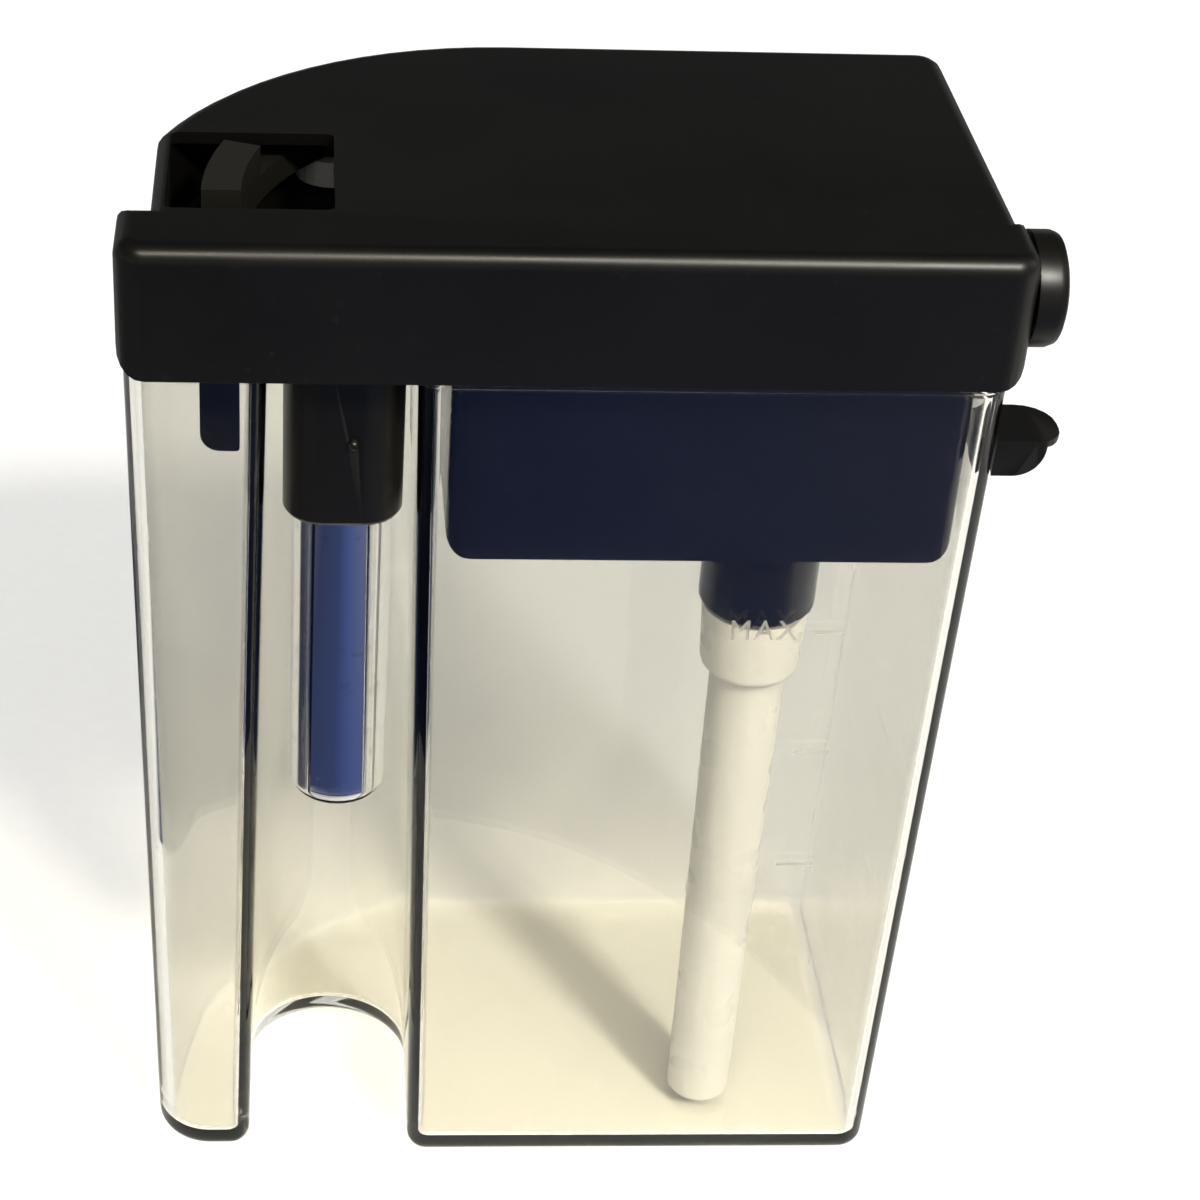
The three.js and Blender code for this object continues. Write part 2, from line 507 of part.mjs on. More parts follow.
// ---- froth regulator ----------------------------------------------------------------------------
// The curved arm and the finger fin share one arc, so one function gives both.
function arcStrip(front, back) {
  const angleAt = (y) => Math.PI - Math.asin((y - LEVER.arcY) / LEVER.arcRadius);
  const strip = new THREE.Shape();
  const inner = LEVER.arcRadius - LEVER.width / 2;
  const outer = LEVER.arcRadius + LEVER.width / 2;
  strip.absarc(LEVER.arcX, LEVER.arcY, outer, angleAt(front), angleAt(back), true);
  strip.absarc(LEVER.arcX, LEVER.arcY, inner, angleAt(back), angleAt(front), false);
  strip.closePath();
  return strip.extractPoints(8).shape.slice(0, -1);
}

function makeLever() {
  const armLow = airValve.top + 0.9;
  const armHigh = 181.2;
  const upright = (points, low, high) => {
    const body = new THREE.ExtrudeGeometry(new THREE.Shape(points),
      { depth: high - low, bevelEnabled: false });
    body.translate(0, 0, low);
    return solid(body);
  };
  const arm = upright(arcStrip(LEVER.finFront, LEVER.y - 2), armLow, armHigh);
  const fin = upright(arcStrip(LEVER.finFront, LEVER.finBack), armLow, COVER.top);
  const hub = rod(LEVER.x, LEVER.y, 5.4, armLow, armHigh, 32);
  const stem = rod(LEVER.x, LEVER.y, airValve.bore - GAP, PLATE.top + 1.2, armLow + 0.5, 24);
  return cut(join(arm, fin, hub, stem), rod(LEVER.x, LEVER.y, 1.5, PLATE.top, armHigh + HIDDEN, 20));
}
piece('froth_lever', leverGroup, makeLever(), BLACK);

const valveLow = PLATE.top + GAP;
const valveSeat = cut(
  join(rod(LEVER.x, LEVER.y, airValve.radius, valveLow, airValve.top),
    rodAlongX(LEVER.y, 173.9, 1.8, LEVER.x + 4, LEVER.x + 12, 20)),
  rod(LEVER.x, LEVER.y, airValve.bore, valveLow + 0.6, airValve.top + HIDDEN, 24),
  rodAlongX(LEVER.y, 173.9, 0.8, LEVER.x + 2, LEVER.x + 13, 16));
piece('air_valve_seat', lidGroup, valveSeat, WHITE);
piece('lever_pivot_pin', lidGroup, rod(LEVER.x, LEVER.y, 1.2, valveLow + 0.9, 183, 20), STEEL);

const airPipe = pipe([[LEVER.x + 12 + GAP, LEVER.y, 173.9], [LEVER.x + 20, LEVER.y - 1, 173.9],
  [2, 6, 174.4], [22, -9, 174.2], [airPass.x - 0.6, airPass.y, 172.6], [airPass.x, airPass.y, 168],
  [airPass.x + 3.4, INTAKE.y + 2, 161], [airPass.x + 4.6, INTAKE.y, 158],
  [airPass.x + 4.6, INTAKE.y, CHAMBER.top + GAP]], airPass.radius, 0.8, 26);
piece('air_pipe', lidGroup, airPipe, SILICONE);

// Leaf spring whose bump rides on the lever's hub and holds the lever where it is put.
const leafX = LEVER.x + 5.4 + GAP;
const leaf = new THREE.Shape([
  [-9, 1.4], [-2, 0.9], [0, 0], [2, 0.9], [9, 1.4], [9, 1.9], [1.8, 1.4], [0, 0.6], [-1.8, 1.4], [-9, 1.9],
].map(([along, out]) => new THREE.Vector2(leafX + out, LEVER.y + along)));
const leafBody = new THREE.ExtrudeGeometry(leaf, { depth: 4.5, bevelEnabled: false });
leafBody.translate(0, 0, airValve.top + 0.6);
piece('detent_spring', lidGroup, solid(leafBody), STEEL);

// ---- milk spout ---------------------------------------------------------------------------------
function carrierOutline(inset) {
  return outline([
    { x: SPOUT.x - CARRIER.halfX + inset, y: CARRIER.front + inset, r: CARRIER.radius - inset },
    { x: SPOUT.x + CARRIER.halfX - inset, y: CARRIER.front + inset, r: CARRIER.radius - inset },
    { x: SPOUT.x + CARRIER.halfX - inset, y: CARRIER.back - inset, r: CARRIER.radius - inset },
    { x: SPOUT.x - CARRIER.halfX + inset, y: CARRIER.back - inset, r: CARRIER.radius - inset },
  ], 7);
}

function makeCarrier() {
  const lip = 1.2;
  const outer = loft([
    [CARRIER.bottom, carrierOutline(lip)], [CARRIER.bottom + 0.5, carrierOutline(0.45)],
    [CARRIER.bottom + lip, carrierOutline(0)], [PLATE.bottom - GAP, carrierOutline(0)],
  ]);
  const pip = new THREE.SphereGeometry(1, 16, 10);
  pip.translate(SPOUT.x + 1.4, CARRIER.front, 150.2);
  return cut(join(outer, solid(pip)),
    rod(SPOUT.x, SPOUT.y, SPOUT.sleeve + GAP, CARRIER.bottom - HIDDEN, SPOUT.sleeveTop + GAP, 40),
    rod(SPOUT.x, SPOUT.y, 4.3, 160, 172));
}
piece('spout_carrier', lidGroup, makeCarrier(), BLACK);

piece('spout_inner_tube', lidGroup, ring(SPOUT.x, SPOUT.y, 2.8, 4, 92, PLATE.top), WHITE);
piece('spout_seal', lidGroup, ring(SPOUT.x, SPOUT.y, 4 + GAP, 6.8, 140, 143), RUBBER);

const elbow = cut(rod(SPOUT.x, SPOUT.y, outletElbow.radius, PLATE.top + GAP, outletElbow.top, 32),
  rod(SPOUT.x, SPOUT.y, 2.6, PLATE.top, 178.5, 20),
  rodAlongX(SPOUT.y, 177.5, 2, SPOUT.x, SPOUT.x + 8, 20));
piece('outlet_elbow', lidGroup, elbow, RUBBER);

const inside = SPOUT.sleeve - SPOUT.sleeveWall;
const sleeve = turned([[inside, SPOUT.bottom], [SPOUT.sleeve - 0.7, SPOUT.bottom],
  [SPOUT.sleeve - 0.2, SPOUT.bottom + 0.3], [SPOUT.sleeve, SPOUT.bottom + 1.1],
  [SPOUT.sleeve, SPOUT.sleeveTop], [inside, SPOUT.sleeveTop], [inside, SPOUT.bottom]],
  SPOUT.x, SPOUT.y, 40);
piece('spout_sleeve', spoutGroup, sleeve, CHROME);

const nozzleTop = SPOUT.bottom + 6;
const spoutNozzle = turned([[3, SPOUT.bottom - 1], [inside - 0.2, SPOUT.bottom - 1],
  [inside + 0.4, SPOUT.bottom - 0.6], [inside + 0.4, SPOUT.bottom - GAP],
  [inside - GAP, SPOUT.bottom - GAP], [inside - GAP, nozzleTop], [4.6, nozzleTop],
  [3, SPOUT.bottom + 2], [3, SPOUT.bottom - 1]], SPOUT.x, SPOUT.y, 32);
piece('spout_nozzle', spoutGroup, spoutNozzle, BLACK);

export default container;
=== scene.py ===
"""Looks for the milk container with frothing lid: a clear tank, a black lid and a chrome spout."""

import json
import math

import bmesh
import bpy
from mathutils import Matrix, Vector


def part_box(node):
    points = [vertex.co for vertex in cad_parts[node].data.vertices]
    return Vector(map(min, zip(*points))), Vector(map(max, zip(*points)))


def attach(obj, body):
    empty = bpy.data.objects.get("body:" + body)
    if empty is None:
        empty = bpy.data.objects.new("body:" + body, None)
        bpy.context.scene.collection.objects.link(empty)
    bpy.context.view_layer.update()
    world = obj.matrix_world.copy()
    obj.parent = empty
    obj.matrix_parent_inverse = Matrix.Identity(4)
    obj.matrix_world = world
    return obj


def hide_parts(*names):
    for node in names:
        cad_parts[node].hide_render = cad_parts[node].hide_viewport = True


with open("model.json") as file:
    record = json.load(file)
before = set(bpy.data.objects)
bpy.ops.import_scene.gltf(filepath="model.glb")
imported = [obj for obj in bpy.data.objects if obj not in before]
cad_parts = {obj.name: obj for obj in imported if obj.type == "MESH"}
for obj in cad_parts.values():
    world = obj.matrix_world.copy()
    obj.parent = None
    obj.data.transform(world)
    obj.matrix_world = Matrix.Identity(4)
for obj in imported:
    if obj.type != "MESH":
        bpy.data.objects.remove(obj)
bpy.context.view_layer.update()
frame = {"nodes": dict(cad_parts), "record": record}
MM = 0.001


# ---- camera -------------------------------------------------------------------------------------
CAMERA_PLACE = Vector((-41.1, -390.75, 365.5)) * MM
CAMERA_PITCH = math.radians(33.73)
CAMERA_YAW = math.radians(-3.90)
CAMERA_ROLL = math.radians(2.63)
CAMERA_LENS = 81.4  # millimetres, on a sensor 36 mm wide
CAMERA_SHIFT = (0.127, -0.0198)


def make_camera():
    data = bpy.data.cameras.new("camera")
    data.sensor_width = 36
    data.lens = CAMERA_LENS
    data.shift_x, data.shift_y = CAMERA_SHIFT
    data.clip_start = 0.01
    camera = bpy.data.objects.new("camera", data)
    level = Vector((-math.sin(CAMERA_YAW), math.cos(CAMERA_YAW), 0))
    right = Vector((math.cos(CAMERA_YAW), math.sin(CAMERA_YAW), 0))
    ahead = level * math.cos(CAMERA_PITCH) - Vector((0, 0, math.sin(CAMERA_PITCH)))
    up = level * math.sin(CAMERA_PITCH) + Vector((0, 0, math.cos(CAMERA_PITCH)))
    rolled_right = right * math.cos(CAMERA_ROLL) + up * math.sin(CAMERA_ROLL)
    rolled_up = up * math.cos(CAMERA_ROLL) - right * math.sin(CAMERA_ROLL)
    turn = Matrix((rolled_right, rolled_up, -ahead)).transposed().to_4x4()
    camera.matrix_world = Matrix.Translation(CAMERA_PLACE) @ turn
    bpy.context.scene.collection.objects.link(camera)
    bpy.context.scene.camera = camera


# ---- node trees ---------------------------------------------------------------------------------
class Tree:
    """A short way to add nodes to a material's or the world's tree and to link them."""

    def __init__(self, owner):
        owner.use_nodes = True
        self.tree = owner.node_tree
        self.tree.nodes.clear()

    def add(self, kind, **values):
        node = self.tree.nodes.new(kind)
        for name, value in values.items():
            if isinstance(value, bpy.types.NodeSocket):
                self.tree.links.new(value, node.inputs[name.replace("_", " ")])
            elif name.replace("_", " ") in node.inputs:
                node.inputs[name.replace("_", " ")].default_value = value
            else:
                setattr(node, name, value)
        return node

    def link(self, source, target):
        self.tree.links.new(source, target)

    def ramp(self, source, stops):
        """A colour ramp over source; stops are (position, grey or colour)."""
        node = self.add("ShaderNodeValToRGB", Fac=source)
        ends = node.color_ramp.elements
        while len(ends) < len(stops):
            ends.new(0.5)
        for element, (place, tone) in zip(ends, stops):
            element.position = place
            colour = tone if isinstance(tone, tuple) else (tone,) * 3
            element.color = (*colour, 1)
        return node.outputs["Color"]

    def noise(self, scale, detail=4.0, stretch=(1, 1, 1), roughness=0.5):
        place = self.add("ShaderNodeTexCoord").outputs["Object"]
        placed = self.add("ShaderNodeMapping", Vector=place, Scale=stretch).outputs["Vector"]
        node = self.add("ShaderNodeTexNoise", Vector=placed, Scale=scale, Detail=detail,
                        Roughness=roughness)
        return node.outputs["Fac"]

    def math(self, operation, first, second):
        node = self.add("ShaderNodeMath", operation=operation)
        self.feed(node.inputs[0], first)
        self.feed(node.inputs[1], second)
        return node.outputs[0]

    def side(self, split, across, along, offset):
        """1 on the side of a line where across * x + along * y + offset is below zero, else 0."""
        x = self.math("MULTIPLY", split.outputs["X"], across)
        y = self.math("MULTIPLY", split.outputs["Y"], along)
        total = self.math("ADD", self.math("ADD", x, y), offset)
        return self.ramp(self.math("MULTIPLY", total, 25.0), [(0.0, 1.0), (0.5, 0.0)])

    def bump(self, height, strength, distance):
        node = self.add("ShaderNodeBump", Height=height, Strength=strength, Distance=distance)
        return node.outputs["Normal"]

    def mix_colour(self, factor, first, second):
        node = self.add("ShaderNodeMix", data_type="RGBA")
        self.feed(node.inputs[0], factor)
        self.feed(node.inputs[6], first)
        self.feed(node.inputs[7], second)
        return node.outputs[2]

    def feed(self, socket, value):
        if isinstance(value, bpy.types.NodeSocket):
            self.link(value, socket)
        elif isinstance(value, tuple) and len(value) == 3:
            socket.default_value = (*value, 1)
        else:
            socket.default_value = value

    def edges(self, low, high):
        """0 on flats and 1 on worn convex edges, from how sharply the surface turns."""
        worn = self.add("ShaderNodeNewGeometry").outputs["Pointiness"]
        return self.ramp(worn, [(low, 0.0), (high, 1.0)])

    def principled(self, **values):
        return self.add("ShaderNodeBsdfPrincipled", **values)

    def finish(self, shader):
        self.add("ShaderNodeOutputMaterial", Surface=shader)


def new_material(name):
    material = bpy.data.materials.new(name)
    return material, Tree(material)


# ---- materials ----------------------------------------------------------------------------------
CLEAR_TINT = (0.77, 0.76, 0.715)
CLEAR_LAMP_TINT = (0.83, 0.825, 0.80)
MARK_LAMP_TINT = (0.9, 0.89, 0.85)


def lamps_pass(tree, glass, tint):
    """Glass for the eye and a tinted window for lamps, so that what is inside and under it is lit."""
    path = tree.add("ShaderNodeLightPath")
    window = tree.add("ShaderNodeBsdfTransparent", Color=(*tint, 1)).outputs[0]
    mix = tree.add("ShaderNodeMixShader", Fac=path.outputs["Is Shadow Ray"])
    tree.link(glass, mix.inputs[1])
    tree.link(window, mix.inputs[2])
    return mix.outputs[0]


def make_clear():
    """Clear moulded plastic: a warm tint, fine handling scratches, faint flow waves and smudges."""
    material, tree = new_material("clear_plastic")
    flow = tree.noise(26, 2, stretch=(1, 1, 0.25))
    scratches = tree.noise(900, 3, stretch=(1, 0.04, 0.3))
    marks = tree.ramp(scratches, [(0.64, 0.0), (0.72, 1.0)])
    smudges = tree.ramp(tree.noise(38, 5), [(0.5, 0.012), (0.72, 0.09)])
    wave = tree.bump(flow, 0.06, 0.002)
    fine = tree.add("ShaderNodeBump", Height=marks, Strength=0.04, Distance=0.0002, Normal=wave)
    glass = tree.principled(Base_Color=(*CLEAR_TINT, 1), Roughness=smudges, IOR=1.5,
                            Normal=fine.outputs["Normal"])
    glass.inputs["Transmission Weight"].default_value = 1.0
    tree.finish(lamps_pass(tree, glass.outputs[0], CLEAR_LAMP_TINT))
    return material


def make_frosted():
    """The raised marks of the tank: the same plastic with a frosted, paler skin."""
    material, tree = new_material("frosted_mark")
    grain = tree.noise(3000, 2)
    colour = tree.mix_colour(grain, (0.72, 0.71, 0.67), (0.64, 0.63, 0.59))
    gloss = tree.ramp(grain, [(0.0, 0.25), (1.0, 0.4)])
    shader = tree.principled(Base_Color=colour, Roughness=gloss, IOR=1.5,
                             Normal=tree.bump(grain, 0.2, 0.0001))
    shader.inputs["Transmission Weight"].default_value = 0.85
    tree.finish(lamps_pass(tree, shader.outputs[0], MARK_LAMP_TINT))
    return material


def make_black():
    """Black satin moulding: spark-eroded grain, uneven gloss from handling, edges worn a little paler."""
    material, tree = new_material("black_satin")
    grain = tree.noise(6500, 2, roughness=0.7)
    patches = tree.noise(45, 4)
    dust = tree.ramp(tree.noise(700, 4), [(0.66, 0.0), (0.78, 1.0)])
    base = tree.mix_colour(patches, (0.0024, 0.0022, 0.0014), (0.0034, 0.0031, 0.0021))
    dusty = tree.mix_colour(dust, base, (0.009, 0.0085, 0.007))
    colour = tree.mix_colour(tree.edges(0.53, 0.62), dusty, (0.012, 0.011, 0.008))
    gloss = tree.ramp(patches, [(0.3, 0.30), (0.7, 0.38)])
    shader = tree.principled(Base_Color=colour, Roughness=gloss, IOR=1.46,
                             Normal=tree.bump(grain, 0.14, 0.00006))
    shader.inputs["Specular IOR Level"].default_value = 0.38
    tree.finish(shader.outputs[0])
    return material


def make_navy():
    """Blue-black smooth moulding with faint streaks of dried milk."""
    material, tree = new_material("navy_moulding")
    patches = tree.noise(30, 3)
    streaks = tree.ramp(tree.noise(160, 5, stretch=(1, 1, 0.35)), [(0.68, 0.0), (0.80, 1.0)])
    base = tree.mix_colour(patches, (0.0026, 0.0030, 0.0066), (0.0036, 0.0042, 0.0090))
    colour = tree.mix_colour(streaks, base, (0.012, 0.013, 0.020))
    gloss = tree.ramp(patches, [(0.3, 0.16), (0.7, 0.24)])
    shader = tree.principled(Base_Color=colour, Roughness=gloss, IOR=1.5,
                             Normal=tree.bump(tree.noise(2600, 2), 0.02, 0.00003))
    tree.finish(shader.outputs[0])
    return material


def make_chrome():
    """Polished chrome with hairline wipe marks round the tube and water spots."""
    material, tree = new_material("chrome")
    hairlines = tree.noise(420, 3, stretch=(0.05, 0.05, 6))
    spots = tree.ramp(tree.noise(260, 3), [(0.62, 0.0), (0.70, 1.0)])
    colour = tree.mix_colour(spots, (0.86, 0.865, 0.89), (0.74, 0.74, 0.74))
    gloss = tree.mix_colour(spots, (0.035, 0.035, 0.035), (0.12, 0.12, 0.12))
    shader = tree.principled(Base_Color=colour, Metallic=1.0, Roughness=gloss,
                             Normal=tree.bump(hairlines, 0.03, 0.0001))
    tree.finish(shader.outputs[0])
    return material


def make_steel():
    """Bright steel of screws, pins and springs, with fine turning marks."""
    material, tree = new_material("bright_steel")
    turning = tree.noise(900, 3, stretch=(1, 1, 8))
    colour = tree.mix_colour(turning, (0.46, 0.46, 0.46), (0.62, 0.61, 0.60))
    shader = tree.principled(Base_Color=colour, Metallic=1.0,
                             Roughness=tree.ramp(turning, [(0.3, 0.22), (0.7, 0.36)]),
                             Normal=tree.bump(turning, 0.1, 0.0001))
    tree.finish(shader.outputs[0])
    return material


def make_silicone():
    """Milky silicone: cloudy, with a soft gloss, a little yellowed."""
    material, tree = new_material("milky_silicone")
    cloud = tree.noise(120, 4)
    colour = tree.mix_colour(cloud, (0.84, 0.83, 0.78), (0.78, 0.77, 0.71))
    gloss = tree.ramp(cloud, [(0.3, 0.24), (0.7, 0.36)])
    shader = tree.principled(Base_Color=colour, Roughness=gloss, IOR=1.41)
    tree.finish(shader.outputs[0])
    return material


def make_seal_rubber():
    """Grey seal rubber, matt, with a dusting of pale bloom."""
    material, tree = new_material("seal_rubber")
    bloom = tree.ramp(tree.noise(420, 5), [(0.45, 0.0), (0.75, 1.0)])
    colour = tree.mix_colour(bloom, (0.055, 0.056, 0.060), (0.12, 0.12, 0.12))
    shader = tree.principled(Base_Color=colour, Roughness=0.7,
                             Normal=tree.bump(tree.noise(2400, 3), 0.2, 0.0001))
    tree.finish(shader.outputs[0])
    return material


def make_white():
    """Natural white moulding of the inner parts, slightly stained by milk."""
    material, tree = new_material("white_moulding")
    stain = tree.ramp(tree.noise(60, 4), [(0.4, 0.0), (0.75, 1.0)])
    colour = tree.mix_colour(stain, (0.76, 0.75, 0.71), (0.66, 0.63, 0.54))
    shader = tree.principled(Base_Color=colour, Roughness=tree.ramp(stain, [(0.0, 0.38), (1.0, 0.5)]),
                             Normal=tree.bump(tree.noise(2000, 2), 0.08, 0.0001))
    tree.finish(shader.outputs[0])
    return material


MATERIALS = {
    "clear": make_clear(), "black": make_black(), "navy": make_navy(), "chrome": make_chrome(),
    "steel": make_steel(), "silicone": make_silicone(), "seal_rubber": make_seal_rubber(),
    "white": make_white(), "frosted": make_frosted(),
}
SLOT_OF = {entry["node"]: entry["material_slot"] for entry in frame["record"]["subparts"]}
BODY_OF = {node: body for body, nodes in frame["record"]["behaviour"]["bodies"].items() for node in nodes}


# ---- mesh helpers -------------------------------------------------------------------------------
SMOOTH_ANGLE = math.radians(32)
BEVEL_ANGLE = math.radians(35)
BEVEL_SEGMENTS = 2
FLAT_ANGLE = math.radians(0.4)
MERGE = 0.002 * MM


def mesh_object(name, points, faces):
    mesh = bpy.data.meshes.new(name)
    mesh.from_pydata(points, [], faces)
    mesh.update()
    made = bpy.data.objects.new(name, mesh)
    bpy.context.scene.collection.objects.link(made)
    return made


def smooth(made, angle=SMOOTH_ANGLE):
    made.data.shade_smooth()
    made.data.set_sharp_from_angle(angle=angle)


def apply_modifiers(made):
    bpy.context.view_layer.update()
    evaluated = made.evaluated_get(bpy.context.evaluated_depsgraph_get())
    mesh = bpy.data.meshes.new_from_object(evaluated)
    made.modifiers.clear()
    made.data = mesh


def settle(made, node, material=None):
    """Gives a finished piece its body, its record slot and its material."""
    made.data.materials.clear()
    made.data.materials.append(MATERIALS[material or SLOT_OF[node]])
    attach(made, BODY_OF[node])


def refine(node, edge):
    """A finer piece in place of a CAD node: flats joined up, edges rounded by edge mm, rounds smooth."""
    source = frame["nodes"][node].data
    made = mesh_object(node + "_fine", [v.co.copy() for v in source.vertices],
                       [tuple(p.vertices) for p in source.polygons])
    shape = bmesh.new()
    shape.from_mesh(made.data)
    bmesh.ops.remove_doubles(shape, verts=shape.verts, dist=MERGE)
    bmesh.ops.dissolve_degenerate(shape, dist=MERGE, edges=shape.edges)
    bmesh.ops.dissolve_limit(shape, angle_limit=FLAT_ANGLE, verts=shape.verts, edges=shape.edges)
    shape.to_mesh(made.data)
    shape.free()
    if edge:
        bevel = made.modifiers.new("edges", "BEVEL")
        bevel.width = edge * MM
        bevel.segments = BEVEL_SEGMENTS
        bevel.limit_method = "ANGLE"
        bevel.angle_limit = BEVEL_ANGLE
        bevel.use_clamp_overlap = True
        apply_modifiers(made)
    smooth(made)
    weigh = made.modifiers.new("normals", "WEIGHTED_NORMAL")
    weigh.keep_sharp = True
    apply_modifiers(made)
    settle(made, node)
    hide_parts(node)
    return made


# ---- tank ---------------------------------------------------------------------------------------
TANK_LOW, TANK_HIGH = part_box("tank")
SHOULDER_Z = 164 * MM
DRAFT_X, DRAFT_Y = 2.43 * MM, 2.29 * MM
WALL, FLOOR, FOOT_RADIUS, RIM_STEP = 2.6 * MM, 2.6 * MM, 3 * MM, 1.4 * MM
FRONT_RADIUS, CORNER_RADIUS, MOUTH_RADIUS, BACK_ARC = 9.5 * MM, 5 * MM, 3.5 * MM, 60 * MM
COLUMN_SETBACK = 1.6 * MM
RECESS_X, RECESS_Y, RECESS_RADIUS, RECESS_SPREAD = -34 * MM, -12.8 * MM, 11.4 * MM, 3.1 * MM
LEAST_RADIUS = 0.6 * MM  # of a corner that an inset has tightened
KEEP_CONCAVE = 0.01 * MM  # keeps a recess corner's round just short of meeting the next one
FLOOR_ROUND, RIM_ROUND = 2.2 * MM, 0.35 * MM  # inside, between floor and wall, and on the rim
LIP, LIP_SINK = 0.5 * MM, 0.15 * MM  # the rounded lip under the shoulder, and how far it sits in
LIP_BASE = 2.4 * LIP  # how far below the shoulder the lip starts
HOLD = 0.35 * MM  # from a rounding to the extra level that keeps the flat beside it flat
WALL_LEVELS = 8
SHARP_TANK_EDGE = math.radians(50)


def rounded_outline(corners):
    """Points round an outline whose corners (x, y, radius, steps) are rounded."""
    points = []
    for i, (x, y, radius, steps) in enumerate(corners):
        here = Vector((x, y))
        before = Vector(corners[i - 1][:2])
        after = Vector(corners[(i + 1) % len(corners)][:2])
        back = (before - here).normalized()
        on = (after - here).normalized()
        half = math.acos(max(-1, min(1, back.dot(on)))) / 2
        centre = here + (back + on).normalized() * (radius / math.sin(half))
        start = here + back * (radius / math.tan(half)) - centre
        end = here + on * (radius / math.tan(half)) - centre
        first = math.atan2(start.y, start.x)
        turn = (math.atan2(end.y, end.x) - first + math.pi) % (2 * math.pi) - math.pi
        for k in range(steps + 1):
            angle = first + turn * k / steps
            points.append(centre + Vector((math.cos(angle), math.sin(angle))) * radius)
    return points


def tank_outline(z, inset):
    """The tank's outline at height z, moved in by inset, as in the CAD part but with finer rounds."""
    low = max(0.0, (SHOULDER_Z - z) / SHOULDER_Z)
    x = TANK_HIGH.x - DRAFT_X * low - inset
    y = TANK_HIGH.y - DRAFT_Y * low - inset
    r = RECESS_RADIUS + RECESS_SPREAD * low + inset

    def rounded(radius):
        return max(radius - inset, LEAST_RADIUS)

    column = -y + COLUMN_SETBACK
    hollow = r - KEEP_CONCAVE
    return rounded_outline([
        (-x, column, rounded(FRONT_RADIUS), 14), (RECESS_X - r, column, rounded(MOUTH_RADIUS), 8),
        (RECESS_X - r, RECESS_Y + r, hollow, 20), (RECESS_X + r, RECESS_Y + r, hollow, 20),
        (RECESS_X + r, -y, rounded(MOUTH_RADIUS), 8), (x, -y, rounded(CORNER_RADIUS), 8),
        (x, y, rounded(CORNER_RADIUS), 8), (-x, y, BACK_ARC - inset, 44),
    ])


def tank_levels():
    """The rings of the tank from foot to rim and down inside: height, at the shoulder or not, inset.

    A ring at the shoulder keeps the outline of the shoulder's height, whatever its own height.
    """
    quarter = [math.pi / 2 * k / 6 for k in range(7)]
    half = [math.pi * k / 8 for k in range(9)]
    walls = [SHOULDER_Z * k / WALL_LEVELS for k in range(1, WALL_LEVELS)]
    rim = TANK_HIGH.z
    levels = [(0, 0, FOOT_RADIUS + HOLD)]
    levels += [(FOOT_RADIUS * (1 - math.cos(a)), 0, FOOT_RADIUS * (1 - math.sin(a))) for a in quarter]
    levels += [(FOOT_RADIUS + HOLD, 0, 0)] + [(z, 0, 0) for z in walls]
    levels += [(SHOULDER_Z - LIP_BASE - HOLD, 0, 0), (SHOULDER_Z - LIP_BASE, 0, 0)]
    levels += [(SHOULDER_Z - LIP * (1 + math.cos(a)), 1, LIP_SINK - LIP * math.sin(a)) for a in half]
    levels += [(SHOULDER_Z, 1, RIM_STEP), (rim - RIM_ROUND - HOLD, 1, RIM_STEP)]
    levels += [(rim - RIM_ROUND * (1 - math.sin(a)), 1, RIM_STEP + RIM_ROUND * (1 - math.cos(a)))
               for a in quarter]
    levels += [(rim - RIM_ROUND * (1 - math.cos(a)), 1, WALL - RIM_ROUND * (1 - math.sin(a)))
               for a in quarter]
    levels += [(rim - RIM_ROUND - HOLD, 1, WALL)] + [(z, 0, WALL) for z in reversed(walls)]
    levels += [(FLOOR + FLOOR_ROUND + HOLD, 0, WALL)]
    levels += [(FLOOR + FLOOR_ROUND * (1 - math.sin(a)), 0, WALL + FLOOR_ROUND * (1 - math.cos(a)))
               for a in quarter]
    return levels + [(FLOOR, 0, WALL + FLOOR_ROUND + HOLD)]


def make_tank():
    points = []
    rings = []
    for z, at_top, inset in tank_levels():
        ring = tank_outline(SHOULDER_Z if at_top else z, inset)
        rings.append(range(len(points), len(points) + len(ring)))
        points += [(p.x, p.y, z) for p in ring]
    count = len(rings[0])
    faces = []
    for lower, upper in zip(rings, rings[1:]):
        for k in range(count):
            after = (k + 1) % count
            faces.append((lower[k], lower[after], upper[after], upper[k]))
    faces.append(tuple(reversed(rings[0])))
    faces.append(tuple(rings[-1]))
    made = mesh_object("tank_fine", points, faces)
    smooth(made, SHARP_TANK_EDGE)
    settle(made, "tank")
    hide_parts("tank")


# ---- level marks --------------------------------------------------------------------------------
MARK_TOP_Z, MARK_STEP, MARK_LEFT = 118.7 * MM, 24.3 * MM, 41.3 * MM
MARK_LENGTH, MARK_WIDTH, MARK_DEPTH = 6.0 * MM, 0.55 * MM, 0.5 * MM
MARK_PROUD, MARK_ROUND, MARK_COUNT = 0.18 * MM, 0.12 * MM, 3
WORD_LEFT, WORD_RIGHT, WORD_HEIGHT, WORD_RISE = 28.8 * MM, 39.6 * MM, 3.6 * MM, 0.4 * MM


def front_wall(z):
    """How far forward the outer face of the tank's front wall is at height z."""
    return -(TANK_HIGH.y - DRAFT_Y * (SHOULDER_Z - z) / SHOULDER_Z)


